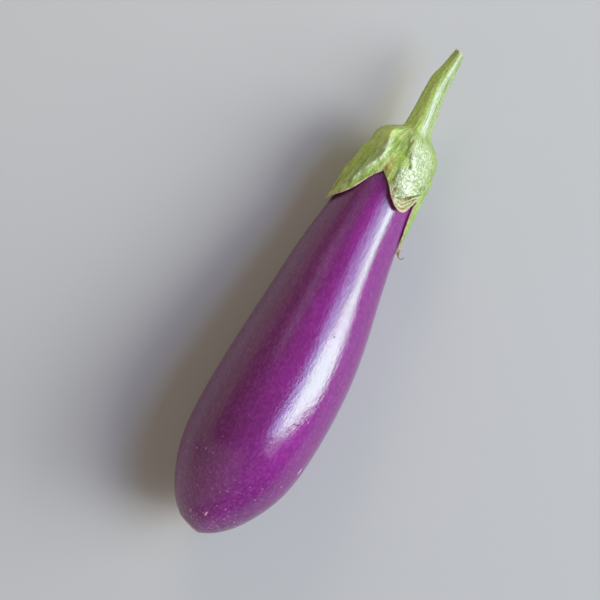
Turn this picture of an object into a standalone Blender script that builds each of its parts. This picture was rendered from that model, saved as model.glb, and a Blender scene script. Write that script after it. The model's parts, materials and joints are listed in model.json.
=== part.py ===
"""A long purple eggplant as picked, lying on its side.

It is two grown pieces: the glossy fruit, and the fleshy green calyx with the stem it ends in.
Both are turned forms, sampled as rings round the fruit's own axis. The axis runs along +Y from
the blossom end to the stem. The origin is the middle of the small flat spot that the fruit
rests on, and +Z is up. Stations are millimetres from the blossom end; angles are degrees round
the axis, 0 on top and positive towards +X.
"""

import math

import bmesh
import bpy
import numpy as np

MM = 0.001

# Fruit: (station, radius) down the profile from the blossom end to the hidden top.
FRUIT_PROFILE = [
    (0.0, 0.0),
    (6.0, 12.4),
    (18.0, 21.5),
    (36.0, 28.9),
    (58.0, 31.8),
    (80.0, 32.0),
    (106.0, 30.5),
    (134.0, 27.0),
    (162.0, 22.9),
    (186.0, 19.5),
    (203.0, 17.8),
    (215.0, 14.0),
    (221.0, 0.0),
]
# Sideways bow of the axis: (station, offset towards +X).
AXIS_BOW = [
    (0.0, -2.9),
    (24.0, -1.1),
    (58.0, 0.4),
    (92.0, 1.4),
    (122.0, 0.9),
    (152.0, -0.9),
    (178.0, -1.2),
    (205.0, -0.6),
    (229.0, 0.9),
    (240.0, 0.2),
    (257.0, -0.5),
    (266.0, 0.5),
    (274.0, 1.1),
]
# Height of the axis over the surface: (station, height). The underside dips 0.7 mm below the
# surface round the resting station, where it is trimmed flat.
AXIS_HEIGHT = [
    (0.0, 31.0),
    (30.0, 32.8),
    (60.0, 32.8),
    (82.0, 31.7),
    (105.0, 29.9),
    (128.0, 27.8),
    (150.0, 26.0),
    (172.0, 24.9),
    (203.0, 24.6),
    (229.0, 25.6),
    (250.0, 27.6),
    (274.0, 31.3),
]
REST_STATION = 103.0  # the middle of the flat spot, under the centre of mass
FRUIT_WAVES = [(3, 0.004, 20.0), (5, 0.003, 75.0), (2, 0.006, 55.0)]  # lobes round, share of radius, turn

# Blossom scar: a blunt facet that leans to one side of the tip.
SCAR_LEAN = 26.0
SCAR_CUT = 1.2
SCAR_BLEND = 0.35

FRUIT_COLUMNS = 56
FRUIT_RINGS = 50

# Calyx and stem: (station, radius) down the outside, from the cut end to the shoulder.
STEM_PROFILE = [
    (273.5, 2.6),
    (268.0, 3.4),
    (260.0, 4.5),
    (248.0, 5.5),
    (238.0, 6.3),
    (232.0, 6.9),
    (228.6, 7.6),
    (226.6, 9.9),
    (224.6, 13.0),
    (221.8, 16.0),
    (218.2, 17.8),
    (214.0, 18.2),
]
SHOULDER = 214.0
CUT_SLANT = 0.29
CROWN_SLANT = 0.075  # the shoulder stands higher on the -X side
STEM_RIDGES = (5, 0.055, -5.0)  # ridges round the stem, share of radius, turn
CLEARANCE = 0.3  # between the fruit's skin and the calyx
FLESH = [(170.0, 1.0), (185.0, 1.5), (196.0, 2.0), (206.0, 2.4), (214.0, 2.8)]
MARGIN_FLESH = 0.55  # share of the flesh left at the margin

# Sepals: the angles at the shoulder where each starts, has its middle and ends; its edge as
# (angle, station) down from one notch to the tip and up to the next; how far the edge stands off.
SEPALS = [
    dict(base=(-105, -60, -15), lift=1.5,
         down=[(-104, 203), (-103, 194), (-97, 185), (-88, 180), (-79, 176.5)],
         up=[(-79, 176.5), (-70, 179.2), (-56, 182.7), (-44, 186.5), (-34, 191.5), (-22, 198.5), (-12, 202.4)]),
    dict(base=(-15, 30, 75), lift=1.9,
         down=[(-12, 202.4), (-3, 199.8), (6, 196.5), (12, 193.5), (18, 191), (26, 188.8)],
         up=[(26, 188.8), (36, 188), (45, 190.2), (52, 193.7), (58, 198.5), (66, 205)]),
    dict(base=(75, 105, 135), lift=0.3,
         down=[(66, 205), (66, 196), (69, 189), (73, 181), (77, 174.5), (81, 169.5)],
         up=[(81, 169.5), (91, 176), (109, 187), (127, 197), (136, 203.5)]),
    dict(base=(135, 165, 195), lift=0.5,
         down=[(136, 203.5), (143, 194), (154, 184), (166, 177.5)],
         up=[(166, 177.5), (178, 184), (188, 193), (196, 202)]),
    dict(base=(195, 225, 255), lift=0.8,
         down=[(196, 202), (203, 192), (212, 182), (221, 174.5)],
         up=[(221, 174.5), (232, 181), (245, 192), (256, 203)]),
]
# Folds pressed up or down in the flesh: their line as (station, angle), height, and the widths
# of their two flanks. Stations where a fold starts and ends fade it in and out.
FOLDS = [
    dict(line=[(227, -42), (220, -34), (208, -23), (199, -34), (188, -47), (177, -75)],
         height=2.2, flanks=(6.8, 2.4)),
    dict(line=[(214, -94), (208, -92), (202, -90)], height=-1.4, flanks=(7.0, 6.0)),
    dict(line=[(228, 16), (218, 26), (208, 33), (196, 40)], height=2.2, flanks=(5.6, 11.0)),
    dict(line=[(246, -48), (235, -40), (226, -20), (219, -3), (211, 6), (203, 8), (195, 12)],
         height=-1.1, flanks=(4.5, 1.8)),
    dict(line=[(225, 76), (214, 74), (205, 70), (199, 68)], height=-1.1, flanks=(1.2, 1.4)),
    dict(line=[(226, 104), (210, 103), (190, 92), (172, 84)], height=0.5, flanks=(3.5, 3.5)),
    dict(line=[(226, 168), (210, 168), (192, 167), (180, 166)], height=1.1, flanks=(4.0, 4.0)),
    dict(line=[(226, 228), (210, 228), (192, 224), (177, 221)], height=1.3, flanks=(4.0, 4.0)),
    dict(line=[(226, 136), (214, 136), (204, 136)], height=-0.8, flanks=(2.0, 2.0)),
    dict(line=[(226, 196), (214, 196), (204, 196)], height=-0.8, flanks=(2.0, 2.0)),
    dict(line=[(226, 256), (214, 256), (204, 256)], height=-0.8, flanks=(2.0, 2.0)),
]
# The front sepal's tip is rucked into pleats that cross it.
PLEATS = dict(angle=36.0, half_width=34.0, top=(197.5, 9.0), pitch=3.2, depth=0.9, drop=0.5)

CALYX_COLUMNS = 96
STEM_RINGS = 22
LOBE_RINGS = 15
LINING_RINGS = 9
CROWN_RINGS = 5

SKIN = dict(colour=(0.190, 0.014, 0.170), roughness=0.22)
CALYX = dict(colour=(0.430, 0.560, 0.180), roughness=0.62)


def smooth_curve(knots, values):
    """A natural cubic spline through the values at the knots, as a function of numpy arrays."""
    knots = np.asarray(knots, float)
    values = np.asarray(values, float)
    step = np.diff(knots)
    count = len(knots)
    system = np.zeros((count, count))
    right = np.zeros(count)
    system[0, 0] = system[-1, -1] = 1.0
    for i in range(1, count - 1):
        system[i, i - 1 : i + 2] = step[i - 1], 2 * (step[i - 1] + step[i]), step[i]
        right[i] = 6 * ((values[i + 1] - values[i]) / step[i] - (values[i] - values[i - 1]) / step[i - 1])
    bend = np.linalg.solve(system, right)

    def at(where):
        where = np.clip(np.asarray(where, float), knots[0], knots[-1])
        i = np.clip(np.searchsorted(knots, where, side="right") - 1, 0, count - 2)
        after = where - knots[i]
        before = knots[i + 1] - where
        return (
            (bend[i] * before**3 + bend[i + 1] * after**3) / (6 * step[i])
            + (values[i] / step[i] - bend[i] * step[i] / 6) * before
            + (values[i + 1] / step[i] - bend[i + 1] * step[i] / 6) * after
        )

    return at


def smooth_line(points, closed_on_axis=False):
    """(station, radius) along a smooth line through the points, as a function of length run.

    Where the line ends on the axis, mirroring its next point across makes the end round.
    """
    points = np.asarray(points, float)
    inner = slice(None)
    if closed_on_axis:
        flip = np.array([1.0, -1.0])
        points = np.vstack([points[1] * flip, points, points[-2] * flip])
        inner = slice(1, -1)
    run = np.concatenate([[0.0], np.cumsum(np.linalg.norm(np.diff(points, axis=0), axis=1))])
    station = smooth_curve(run, points[:, 0])
    radius = smooth_curve(run, points[:, 1])
    start, end = run[inner][0], run[inner][-1]

    def at(length):
        where = np.clip(start + np.asarray(length, float), start, end)
        return station(where), radius(where)

    return at, end - start


def smooth_step(x):
    x = np.clip(x, 0.0, 1.0)
    return x * x * (3 - 2 * x)


FRUIT_LINE, FRUIT_RUN = smooth_line(FRUIT_PROFILE, closed_on_axis=True)
STEM_LINE, STEM_RUN = smooth_line(STEM_PROFILE)
BOW = smooth_curve(*zip(*AXIS_BOW))
HEIGHT = smooth_curve(*zip(*AXIS_HEIGHT))


def ring_points(station, radius, angle):
    """Points in millimetres at a station, a distance from the axis and an angle round it."""
    turn = np.radians(angle)
    x = BOW(station) - BOW(REST_STATION) + radius * np.sin(turn)
    y = station - REST_STATION + 0.0 * turn
    z = HEIGHT(station) + radius * np.cos(turn)
    return np.stack(np.broadcast_arrays(x, y, z), axis=-1)


def fruit_waves(angle):
    """The faint flats and swells that run the length of the fruit."""
    swell = sum(share * np.cos(np.radians(lobes * (angle - turn))) for lobes, share, turn in FRUIT_WAVES)
    return 1.0 + swell


def blunt_tip(points):
    """Presses the blossom end back to the leaning plane of its scar, with a soft edge."""
    lean = math.radians(SCAR_LEAN)
    outward = np.array([-math.sin(lean), -math.cos(lean), 0.0])
    reach = points @ outward
    limit = reach.max() - SCAR_CUT
    over = SCAR_BLEND * np.logaddexp(0.0, (reach - limit) / SCAR_BLEND)
    return points - (over * smooth_step((reach - limit) / SCAR_BLEND + 2.0))[..., None] * outward


def mesh_object(name, points, faces, finish):
    """A smooth-shaded object of one material from points in millimetres."""
    mesh = bpy.data.meshes.new(name)
    mesh.from_pydata([tuple(p) for p in np.asarray(points) * MM], [], faces)
    mesh.validate()
    skin = bpy.data.materials.new(name)
    skin.use_nodes = True
    shader = skin.node_tree.nodes["Principled BSDF"]
    shader.inputs["Base Color"].default_value = (*finish["colour"], 1.0)
    shader.inputs["Roughness"].default_value = finish["roughness"]
    shader.inputs["Metallic"].default_value = 0.0
    mesh.materials.append(skin)
    mesh.shade_smooth()
    piece = bpy.data.objects.new(name, mesh)
    bpy.context.scene.collection.objects.link(piece)
    return piece


def ring_faces(rings, columns):
    """Quads that join each ring of points to the next."""
    faces = []
    for row in range(rings - 1):
        for col in range(columns):
            near = row * columns
            turn = (col + 1) % columns
            faces.append((near + col, near + turn, near + columns + turn, near + columns + col))
    return faces


def make_fruit():
    angle = np.arange(FRUIT_COLUMNS) * 360.0 / FRUIT_COLUMNS
    share = np.linspace(0.0, 1.0, FRUIT_RINGS + 2)[1:-1]
    length = FRUIT_RUN * (share - 0.045 * np.sin(2 * math.pi * share))  # closer rings at both ends
    station, radius = FRUIT_LINE(length)
    body = ring_points(station[:, None], radius[:, None] * fruit_waves(angle)[None, :], angle[None, :])
    tip = ring_points(np.array(0.0), np.array(0.0), np.array(0.0))
    top = ring_points(np.array(FRUIT_PROFILE[-1][0]), np.array(0.0), np.array(0.0))
    points = np.vstack([tip, body.reshape(-1, 3), top])
    points = blunt_tip(points)

    faces = [tuple(i + 1 for i in face) for face in ring_faces(FRUIT_RINGS, FRUIT_COLUMNS)]
    last = 1 + (FRUIT_RINGS - 1) * FRUIT_COLUMNS
    for col in range(FRUIT_COLUMNS):
        turn = (col + 1) % FRUIT_COLUMNS
        faces.append((0, 1 + turn, 1 + col))
        faces.append((last + col, last + turn, len(points) - 1))
    fruit = mesh_object("fruit", points, faces, SKIN)
    press_flat(fruit)
    return fruit


def press_flat(fruit):
    """Trims the underside at the surface, which leaves the one flat face that it rests on."""
    form = bmesh.new()
    form.from_mesh(fruit.data)
    everything = form.verts[:] + form.edges[:] + form.faces[:]
    cut = bmesh.ops.bisect_plane(
        form, geom=everything, dist=1e-7, plane_co=(0, 0, 0), plane_no=(0, 0, -1), clear_outer=True
    )
    rim = [item for item in cut["geom_cut"] if isinstance(item, bmesh.types.BMEdge)]
    bmesh.ops.edgeloop_fill(form, edges=rim)
    bmesh.ops.recalc_face_normals(form, faces=form.faces[:])
    form.to_mesh(fruit.data)
    form.free()
    fruit.data.set_sharp_from_angle(angle=math.radians(40))


def edge_curve(points, share):
    """(angle, station) along one side of a sepal's edge, by share of its length."""
    points = np.asarray(points, float)
    step = np.diff(points, axis=0) * [0.36, 1.0]  # millimetres round the fruit for each degree
    run = np.concatenate([[0.0], np.cumsum(np.hypot(*step.T))])
    where = share * run[-1]
    return smooth_curve(run, points[:, 0])(where), smooth_curve(run, points[:, 1])(where)


def sepal_edge(base_angle):
    """For each angle at the shoulder: its place on the edge, and how far the edge stands off there."""
    first = SEPALS[0]["base"][0]
    base = (np.asarray(base_angle, float) - first) % 360.0 + first
    angle, station, lift = np.zeros((3, base.size))
    for sepal in SEPALS:
        start, middle, end = sepal["base"]
        down = (base >= start) & (base < middle)
        up = (base >= middle) & (base < end)
        share_down = (base[down] - start) / (middle - start)
        share_up = (base[up] - middle) / (end - middle)
        angle[down], station[down] = edge_curve(sepal["down"], share_down)
        angle[up], station[up] = edge_curve(sepal["up"], share_up)
        lift[down] = sepal["lift"] * smooth_step(0.2 + 0.8 * share_down)
        lift[up] = sepal["lift"] * smooth_step(1.0 - 0.8 * share_up)
    turn = (angle - base_angle + 180.0) % 360.0 - 180.0
    return turn, station, lift


def fold_height(station, angle, radius):
    """How far the folds stand out at each point of the calyx's outside."""
    total = np.zeros(np.broadcast(station, angle).shape)
    for fold in FOLDS:
        line = sorted(fold["line"])
        where, heading = zip(*line)
        middle = smooth_curve(where, heading)(station)
        off = ((angle - middle + 180.0) % 360.0 - 180.0) * np.radians(1.0) * radius
        flank = np.where(off < 0, fold["flanks"][0], fold["flanks"][1])
        fade = smooth_step((station - where[0] + 4.0) / 6.0) * smooth_step((where[-1] + 4.0 - station) / 8.0)
        total = total + fold["height"] * fade * np.exp(-((off / flank) ** 2))
    return total


def pleat_height(station, angle):
    """The rucked tip of the front sepal: a drop below its bulge, then pleats across it."""
    across = ((angle - PLEATS["angle"] + 180.0) % 360.0 - 180.0) / PLEATS["half_width"]
    within = smooth_step(1.6 * (1 - np.abs(across)))
    top, bow = PLEATS["top"]
    below = top - bow * 0.35 + 0.35 * bow * across - station
    start = smooth_step(below / 1.2)
    wave = np.cos(2 * math.pi * below / PLEATS["pitch"])
    return -within * start * (PLEATS["drop"] + PLEATS["depth"] * 0.5 * (1 + wave))


def fruit_offset(station, out):
    """(station, radius) of points that stand off the fruit's profile, square to it."""
    run = np.linspace(0.0, FRUIT_RUN, 1600)
    at, radius = FRUIT_LINE(run)
    slope_at = np.gradient(at, run)
    slope_radius = np.gradient(radius, run)
    length = np.interp(station, at, run)
    steep = np.hypot(np.interp(length, run, slope_at), np.interp(length, run, slope_radius))
    out_at = -np.interp(length, run, slope_radius) / steep
    out_radius = np.interp(length, run, slope_at) / steep
    return station + out * out_at, np.interp(length, run, radius) + out * out_radius


def stem_ring(length, angle):
    """A ring of the stem or the crown of the calyx, this far down the outside from the cut."""
    station, radius = STEM_LINE(length)
    ridges, share, turn = STEM_RIDGES
    wave = share * np.cos(np.radians(ridges * (angle - turn)))
    on_stem = smooth_step((station - 218.0) / 12.0)
    radius = radius * (1 + wave * on_stem)
    radius = radius + fold_height(station, angle, radius) * smooth_step((250.0 - station) / 20.0)
    cut = CUT_SLANT * smooth_step((station - 262.0) / 9.0)
    crown = CROWN_SLANT * smooth_step((232.0 - station) / 8.0) * smooth_step((station - 206.0) / 12.0)
    points = ring_points(np.full(angle.shape, float(station)), radius, angle)
    points[:, 1] -= (cut + crown) * radius * np.sin(np.radians(angle))
    return points


def lobe_ring(share, base_angle, lining):
    """A ring of the sepals: share 0 at the shoulder, 1 at their edge, outside or lining."""
    turn, edge, lift = sepal_edge(base_angle)
    station = SHOULDER - share * (SHOULDER - edge)
    angle = base_angle + turn * share**1.3
    lift = lift * share**2.5
    out = CLEARANCE + lift
    if not lining:
        at, flesh = zip(*FLESH)
        thin = 1 - (1 - MARGIN_FLESH) * smooth_step((share - 0.6) / 0.4)
        out = out + smooth_curve(at, flesh)(station) * thin
    at, radius = fruit_offset(station, out)
    radius = radius * fruit_waves(angle)
    if not lining:
        soft = 1 - 0.75 * smooth_step((share - 0.7) / 0.3)
        raised = fold_height(station, angle, radius) + pleat_height(station, angle)
        radius = radius + np.maximum(raised * soft, -0.45 * (out - CLEARANCE - lift))
    return ring_points(at, radius, angle)


def outer_lobe_ring(share, base_angle):
    """The outside of the sepals, carried on smoothly from the crown's last ring."""
    step = stem_ring(STEM_RUN, base_angle) - lobe_ring(0.0, base_angle, lining=False)
    return lobe_ring(share, base_angle, lining=False) + step * (1 - smooth_step(share / 0.5))


def make_calyx():
    angle = -180.0 + np.arange(CALYX_COLUMNS) * 360.0 / CALYX_COLUMNS
    rings = [stem_ring(STEM_RUN * (i / STEM_RINGS) ** 0.85, angle) for i in range(STEM_RINGS)]
    rings += [outer_lobe_ring(i / LOBE_RINGS, angle) for i in range(LOBE_RINGS + 1)]
    rings += [lobe_ring(1 - i / LINING_RINGS, angle, lining=True) for i in range(LINING_RINGS + 1)]
    top = FRUIT_PROFILE[-1][0]
    for i in range(1, CROWN_RINGS):
        share = math.sin(math.pi / 2 * i / CROWN_RINGS)
        at, radius = fruit_offset(SHOULDER + (top - SHOULDER) * share, CLEARANCE)
        rings.append(ring_points(np.full(angle.shape, float(at)), radius * fruit_waves(angle), angle))
    points = np.vstack(rings)
    crown = ring_points(np.array(top + CLEARANCE), np.array(0.0), np.array(0.0))
    points = np.vstack([points, crown])

    faces = [face[::-1] for face in ring_faces(len(rings), CALYX_COLUMNS)]
    faces.append(tuple(range(CALYX_COLUMNS)))
    last = (len(rings) - 1) * CALYX_COLUMNS
    for col in range(CALYX_COLUMNS):
        turn = (col + 1) % CALYX_COLUMNS
        faces.append((last + turn, last + col, len(points) - 1))
    calyx = mesh_object("calyx_and_stem", points, faces, CALYX)
    calyx.data.set_sharp_from_angle(angle=math.radians(60))
    return calyx


def main():
    for item in list(bpy.data.objects):
        bpy.data.objects.remove(item)
    make_fruit()
    make_calyx()


main()
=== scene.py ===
import json
import math

import bpy
import numpy as np
from mathutils import Matrix, Vector, noise


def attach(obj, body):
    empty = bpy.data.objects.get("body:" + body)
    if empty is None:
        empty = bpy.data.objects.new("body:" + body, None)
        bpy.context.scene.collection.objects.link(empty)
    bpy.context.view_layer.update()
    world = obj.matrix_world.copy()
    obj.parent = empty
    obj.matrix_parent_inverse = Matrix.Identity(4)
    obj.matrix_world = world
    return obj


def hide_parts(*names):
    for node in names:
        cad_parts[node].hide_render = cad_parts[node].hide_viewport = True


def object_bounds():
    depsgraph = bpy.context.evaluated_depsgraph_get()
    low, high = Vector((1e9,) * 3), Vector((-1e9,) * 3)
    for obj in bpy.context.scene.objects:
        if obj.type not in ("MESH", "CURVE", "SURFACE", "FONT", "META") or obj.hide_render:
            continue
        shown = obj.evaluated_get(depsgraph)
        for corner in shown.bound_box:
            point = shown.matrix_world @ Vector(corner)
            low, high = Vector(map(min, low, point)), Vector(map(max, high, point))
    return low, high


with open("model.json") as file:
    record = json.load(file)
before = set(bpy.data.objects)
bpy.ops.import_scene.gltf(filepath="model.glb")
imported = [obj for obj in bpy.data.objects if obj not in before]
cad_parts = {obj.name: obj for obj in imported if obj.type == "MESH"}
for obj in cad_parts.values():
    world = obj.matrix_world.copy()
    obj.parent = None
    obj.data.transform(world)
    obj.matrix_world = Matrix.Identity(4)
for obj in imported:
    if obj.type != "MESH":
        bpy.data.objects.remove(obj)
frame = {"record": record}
cadLow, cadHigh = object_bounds()  # in metres
restPointM = Vector(frame["record"]["mounts"][0]["pos_m"])  # middle of the flat spot it rests on
millimetre = 0.001

axis = {
    "restStation": 103.0,
    # (station, offset towards +X)
    "bow": [(0, -2.9), (24, -1.1), (58, 0.4), (92, 1.4), (122, 0.9), (152, -0.9), (178, -1.2),
            (205, -0.6), (229, 0.9), (240, 0.2), (257, -0.5), (266, 0.5), (274, 1.1)],
    # (station, height over the surface)
    "height": [(0, 31.0), (30, 32.8), (60, 32.8), (82, 31.7), (105, 29.9), (128, 27.8), (150, 26.0),
               (172, 24.9), (203, 24.6), (229, 25.6), (250, 27.6), (274, 31.3)],
}


def smoothStep(x):
    x = np.clip(x, 0.0, 1.0)
    return x * x * (3 - 2 * x)


def ramp(x, start, end):
    # smooth run from 0 at the start to 1 at the end, which may be the lower of the two
    return smoothStep((x - start) / (end - start))


def hump(x, middle, halfWidth):
    # smooth rise to 1 at the middle and back
    return np.exp(-(((x - middle) / halfWidth) ** 2))


def smoothCurve(pairs):
    # natural cubic spline through (place, value) pairs
    knots, values = np.asarray(pairs, float).T
    step = np.diff(knots)
    count = len(knots)
    system = np.zeros((count, count))
    right = np.zeros(count)
    system[0, 0] = system[-1, -1] = 1.0
    for i in range(1, count - 1):
        system[i, i - 1 : i + 2] = step[i - 1], 2 * (step[i - 1] + step[i]), step[i]
        right[i] = 6 * ((values[i + 1] - values[i]) / step[i] - (values[i] - values[i - 1]) / step[i - 1])
    bend = np.linalg.solve(system, right)

    def at(where):
        where = np.clip(np.asarray(where, float), knots[0], knots[-1])
        i = np.clip(np.searchsorted(knots, where, side="right") - 1, 0, count - 2)
        after = where - knots[i]
        before = knots[i + 1] - where
        return (
            (bend[i] * before**3 + bend[i + 1] * after**3) / (6 * step[i])
            + (values[i] / step[i] - bend[i] * step[i] / 6) * before
            + (values[i + 1] / step[i] - bend[i + 1] * step[i] / 6) * after
        )

    return at


def runOf(points):
    # length run at each point of a line
    return np.concatenate([[0.0], np.cumsum(np.linalg.norm(np.diff(points, axis=0), axis=1))])


def smoothLine(points, endsOnAxis=False):
    # (station, radius) along a smooth line, by length run; ends on the axis come out round
    points = np.asarray(points, float)
    inner = slice(None)
    if endsOnAxis:
        flip = np.array([1.0, -1.0])
        points = np.vstack([points[1] * flip, points, points[-2] * flip])
        inner = slice(1, -1)
    run = runOf(points)
    station, radius = [smoothCurve(list(zip(run, column))) for column in points.T]
    start, end = run[inner][0], run[inner][-1]

    def at(length):
        where = np.clip(start + np.asarray(length, float), start, end)
        return station(where), radius(where)

    return at, end - start


bowAt = smoothCurve(axis["bow"])
heightAt = smoothCurve(axis["height"])


def placed(station, radius, angle):
    # points at a station, a distance from the axis and an angle round it
    turn = np.radians(angle)
    x = bowAt(station) - bowAt(axis["restStation"]) + radius * np.sin(turn)
    y = station - axis["restStation"] + 0.0 * turn
    z = heightAt(station) + radius * np.cos(turn)
    return np.stack(np.broadcast_arrays(x, y, z), axis=-1)


def drumPoints(station, angle, radius):
    # the surface unrolled on an even drum, so patterns run true from end to end
    turn = np.radians(angle)
    return np.stack(np.broadcast_arrays(radius * np.sin(turn), station, radius * np.cos(turn)), axis=-1)


def unevenness(points, size, seed, octaves=1):
    # smooth noise, about -1 to 1, in lumps of this size across and along; each seed has its own place
    flat = (points / [size[0], size[1], size[0]]).reshape(-1, 3)
    shift = Vector((seed * 17.3, seed * 5.1, seed * 9.7))
    if octaves == 1:
        values = [noise.noise(Vector(p) + shift) for p in flat]
    else:
        values = [noise.fractal(Vector(p) + shift, 1.0, 2.0, octaves) for p in flat]
    return np.array(values).reshape(points.shape[:-1])


def gridFaces(rings, columns, flip=False):
    # quads that join each ring of points to the next
    row = np.arange(rings - 1)[:, None] * columns
    col = np.arange(columns)[None, :]
    beside = (col + 1) % columns
    quads = np.stack([row + col, row + beside, row + columns + beside, row + columns + col], axis=-1)
    quads = quads.reshape(-1, 4)
    return (quads[:, ::-1] if flip else quads).tolist()


def closedFaces(rings, columns, flip=False):
    # the same for a body with one more point before its first ring and one after its last
    faces = (np.array(gridFaces(rings, columns, flip)) + 1).tolist()
    last = 1 + (rings - 1) * columns
    for col in range(columns):
        beside = (col + 1) % columns
        for fan in ((0, 1 + beside, 1 + col), (last + col, last + beside, last + columns)):
            faces.append((fan[0], fan[2], fan[1]) if flip else fan)
    return faces


def makePiece(name, points, faces, material, attributes=None):
    # a smooth-shaded piece, its points in millimetres
    mesh = bpy.data.meshes.new(name)
    placedM = np.asarray(points) * millimetre + np.array(restPointM)
    mesh.from_pydata(placedM.tolist(), [], faces)
    mesh.update()
    for key, values in (attributes or {}).items():
        values = np.asarray(values, np.float32)
        kind, field = ("FLOAT_VECTOR", "vector") if values.ndim == 2 else ("FLOAT", "value")
        layer = mesh.attributes.new(key, kind, "POINT")
        layer.data.foreach_set(field, values.ravel())
    mesh.materials.append(material)
    mesh.shade_smooth()
    piece = bpy.data.objects.new(name, mesh)
    bpy.context.scene.collection.objects.link(piece)
    return piece


def linear(hexColour):
    # sRGB hex to linear light
    parts = [int(hexColour[i : i + 2], 16) / 255 for i in (1, 3, 5)]
    return (*[c / 12.92 if c <= 0.04045 else ((c + 0.055) / 1.055) ** 2.4 for c in parts], 1.0)


def newMaterial(name):
    material = bpy.data.materials.new(name)
    material.use_nodes = True
    tree = material.node_tree
    return material, tree, tree.nodes["Principled BSDF"]


def addNode(tree, kind, settings, feeds=None):
    # one node with its settings, and the sockets that feed it
    node = tree.nodes.new("ShaderNode" + kind)
    for key, value in settings.items():
        if isinstance(key, int) or key in node.inputs:
            node.inputs[key].default_value = value
        else:
            setattr(node, key, value)
    for key, socket in (feeds or {}).items():
        tree.links.new(socket, node.inputs[key])
    return node


def layColours(tree, palette, colour, layers):
    # Lays colours over a first one, which is a colour or what an earlier call gave. A layer has its
    # colour, the value that places it, where that starts and is fullest, how much it covers there, and,
    # where it has to be held back, a share that does so. Colours are names in the palette or hex.
    for over, value, start, full, most, *held in layers:
        spread = {"From Min": start, "From Max": full, "To Max": most}
        share = addNode(tree, "MapRange", spread, {"Value": value}).outputs[0]
        if held:
            share = addNode(tree, "Math", {"operation": "MULTIPLY"}, {0: share, 1: held[0]}).outputs[0]
        mixed = addNode(tree, "MixRGB", {"Color2": linear(palette.get(over, over))}, {"Fac": share})
        if isinstance(colour, str):
            mixed.inputs["Color1"].default_value = linear(palette.get(colour, colour))
        else:
            tree.links.new(colour, mixed.inputs["Color1"])
        colour = mixed.outputs["Color"]
    return colour


def layPatterns(tree, patterns, surfaces):
    # Noise for each pattern of a material: the surface it lies on, its size across and along, how far
    # it slants, then its detail, roughness and swirl. A surface has its socket and millimetres a unit.
    fields = {}
    for key, (surface, across, along, slant, detail, rough, swirl) in patterns.items():
        where, unit = surfaces[surface]
        scale = (unit / across, unit / along, unit / across)
        fit = {"Rotation": (0, 0, math.radians(slant)), "Scale": scale}
        fitted = addNode(tree, "Mapping", fit, {"Vector": where})
        look = {"Scale": 1.0, "Detail": detail, "Roughness": rough, "Distortion": swirl}
        fields[key] = addNode(tree, "TexNoise", look, {"Vector": fitted.outputs[0]}).outputs["Fac"]
    return fields


def reachFrom(tree, where, mark, drumRadius):
    # distance from a mark (station, angle, half length, half width) on the drum, 1 at its own edge
    station, angle, halfLength, halfWidth = mark
    middle = tuple(drumPoints(station, angle, drumRadius).tolist())
    apart = addNode(tree, "VectorMath", {"operation": "SUBTRACT", 1: middle}, {0: where})
    oval = {"operation": "MULTIPLY", 1: (1 / halfWidth, 1 / halfLength, 1 / halfWidth)}
    sized = addNode(tree, "VectorMath", oval, {0: apart.outputs[0]})
    return addNode(tree, "VectorMath", {"operation": "LENGTH"}, {0: sized.outputs[0]}).outputs["Value"]


fruit = {
    # (station, radius)
    "profile": [(0, 0), (6, 12.4), (18, 21.5), (36, 28.9), (58, 31.8), (80, 32.0), (106, 30.5),
                (134, 27.0), (162, 22.9), (186, 19.5), (203, 17.8), (215, 14.0), (221, 0)],
    "waves": [(3, 0.004, 20), (5, 0.003, 75), (2, 0.006, 55)],  # lobes round, share of radius, turn
    "scarLean": 26,  # the blossom scar's facet leans this far to the -X side
    "scarCut": 1.2,
    "scarBlend": 0.35,
    "scarRadius": 7.0,
    "scarRagged": (0.7, 1.6),  # height and size of its uneven outline
    "scarRim": (0.55, 0.7),  # height and half width
    "scarSunk": 0.25,
    "scarCrust": (0.10, 0.7),  # height and size of the crust's grains
    "restBlend": 0.12,
    "neck": (120, 200),  # stations where it starts and is full
    # unevenness of the skin: height, size across and along, how much more of it there is on the neck
    "swells": [(0.16, (15, 60), 0.6), (0.026, (4.5, 22), 0.7)],
    "evenUnder": 14,  # the unevenness fades towards both ends, under this radius
    # soft rib on the neck: its angle, half width and height, and the stations where it comes and goes
    "neckRib": (29, 12, 0.5, (124, 150), (212, 192)),
    "drumRadius": 30.0,
    "columns": 288,
    "rings": 336,
    "crowding": 0.07,  # how much closer the rings are at both ends
}
fruitLine, fruitRun = smoothLine(fruit["profile"], endsOnAxis=True)
topStation = float(fruit["profile"][-1][0])


def fruitWaves(angle):
    waves = [share * np.cos(np.radians(lobes * (angle - turn))) for lobes, share, turn in fruit["waves"]]
    return 1.0 + sum(waves)


def makeScar(points):
    # cuts the blossom scar's facet, gives it a rim and a crust; also says where both are
    lean = math.radians(fruit["scarLean"])
    outward = np.array([-math.sin(lean), -math.cos(lean), 0.0])
    reach = points @ outward
    limit = reach.max() - fruit["scarCut"]
    blend = fruit["scarBlend"]
    middle = points[reach > limit].mean(axis=0)
    over = blend * np.logaddexp(0.0, (reach - limit) / blend)
    points = points - (over * ramp(reach, limit - 2 * blend, limit - blend))[:, None] * outward
    ragged, raggedSize = fruit["scarRagged"]
    away = np.linalg.norm(points - middle, axis=1) + ragged * unevenness(points, (raggedSize, raggedSize), 3)
    scar = ramp(away, fruit["scarRadius"] + 0.5, fruit["scarRadius"] - 0.5)
    rimHeight, rimWidth = fruit["scarRim"]
    rim = hump(away, fruit["scarRadius"], rimWidth)
    crust, crustSize = fruit["scarCrust"]
    grains = unevenness(points, (crustSize, crustSize), 4)
    raised = rimHeight * rim + (crust * grains - fruit["scarSunk"]) * scar
    return points + raised[:, None] * outward, scar, np.minimum(1.0, 1.3 * rim)


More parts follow.
